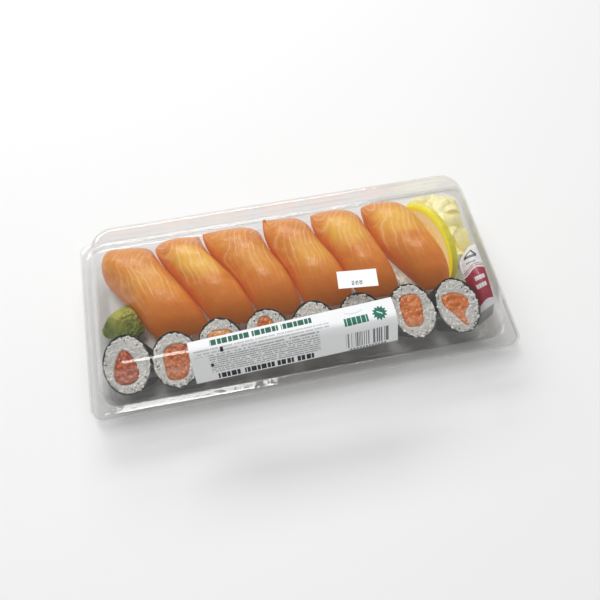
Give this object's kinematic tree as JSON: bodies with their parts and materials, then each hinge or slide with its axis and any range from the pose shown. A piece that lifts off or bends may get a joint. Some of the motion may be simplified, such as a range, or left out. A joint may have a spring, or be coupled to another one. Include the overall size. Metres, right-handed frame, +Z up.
{
  "type": "takeaway sushi tray",
  "caption": "Shut clear plastic tray of sushi with a press-on lid: salmon nigiri, thin rolls, wasabi, lemon, pickled ginger and a sauce packet under a wrap-over label.",
  "frame": {"origin": "middle of the bounding box's underside, on the floor the tray stands on", "axes": "+X along the tray to the right end with the ginger, -Y towards the labelled front, +Z up"},
  "size_m": [0.2398, 0.1158, 0.0474],
  "materials": {
    "clear_plastic": "clear, thin, glossy",
    "rice": null,
    "salmon": null,
    "salmon_core": null,
    "nori": null,
    "wasabi": null,
    "lemon": null,
    "ginger": null,
    "packet_film": "printed film, glossy",
    "paper": "smooth coated paper"
  },
  "bodies": {
    "root": {"tray": "clear_plastic", "lid": "clear_plastic", "nigiri_rice_1": "rice", "nigiri_salmon_1": "salmon", "nigiri_rice_2": "rice", "nigiri_salmon_2": "salmon", "nigiri_rice_3": "rice", "nigiri_salmon_3": "salmon", "nigiri_rice_4": "rice", "nigiri_salmon_4": "salmon", "nigiri_rice_5": "rice", "nigiri_salmon_5": "salmon", "nigiri_rice_6": "rice", "nigiri_salmon_6": "salmon", "roll_nori_1": "nori", "roll_rice_1": "rice", "roll_salmon_1": "salmon_core", "roll_nori_2": "nori", "roll_rice_2": "rice", "roll_salmon_2": "salmon_core", "roll_nori_3": "nori", "roll_rice_3": "rice", "roll_salmon_3": "salmon_core", "roll_nori_4": "nori", "roll_rice_4": "rice", "roll_salmon_4": "salmon_core", "roll_nori_5": "nori", "roll_rice_5": "rice", "roll_salmon_5": "salmon_core", "roll_nori_6": "nori", "roll_rice_6": "rice", "roll_salmon_6": "salmon_core", "roll_nori_7": "nori", "roll_rice_7": "rice", "roll_salmon_7": "salmon_core", "roll_nori_8": "nori", "roll_rice_8": "rice", "roll_salmon_8": "salmon_core", "wasabi": "wasabi", "lemon_slice": "lemon", "ginger": "ginger", "soy_packet": "packet_film", "label": "paper", "price_sticker": "paper"}
  },
  "joints": []
}
